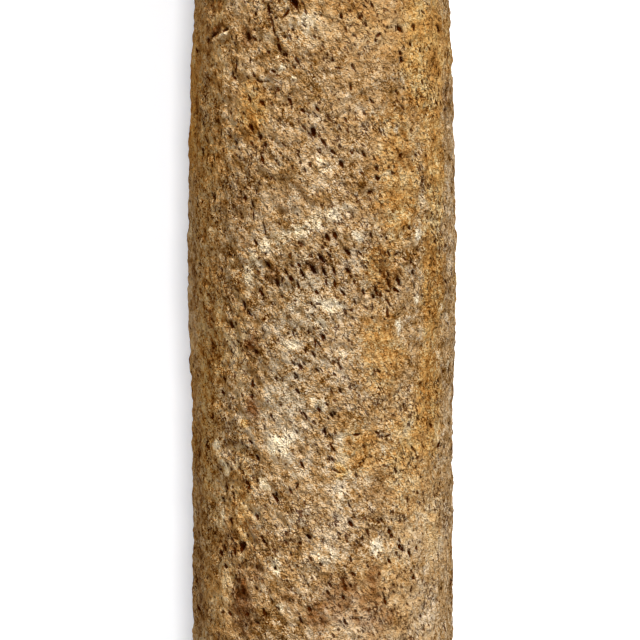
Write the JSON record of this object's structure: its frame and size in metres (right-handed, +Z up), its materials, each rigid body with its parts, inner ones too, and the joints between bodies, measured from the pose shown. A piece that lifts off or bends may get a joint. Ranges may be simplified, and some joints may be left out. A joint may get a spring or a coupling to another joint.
{
  "type": "stone grain pestle",
  "caption": "Socketed pestle stone of porous ochre rock on a short wooden haft locked by wedges, for pounding grain in a mortar",
  "frame": {"origin": "centre of the worn foot that the pestle stands on", "axes": "+Z runs up the stone's axis from the foot to the haft; the picture looks along +Y"},
  "size_m": [0.0953, 0.0953, 0.53],
  "materials": {
    "ochre_stone": "weathered, porous, hand-pecked",
    "haft_wood": "hand-worn hardwood",
    "wedge_wood": "split, dry"
  },
  "bodies": {
    "head": {"stone_head": "ochre_stone"},
    "handle": {"haft": "haft_wood", "socket_wedge_1": "wedge_wood", "socket_wedge_2": "wedge_wood", "socket_wedge_3": "wedge_wood", "socket_wedge_4": "wedge_wood"}
  },
  "joints": [
    {"name": "haft_draw", "type": "slide", "parent": "head", "child": "handle", "axis": [0, 0, 1], "range_m": [0, 0.095]}
  ]
}
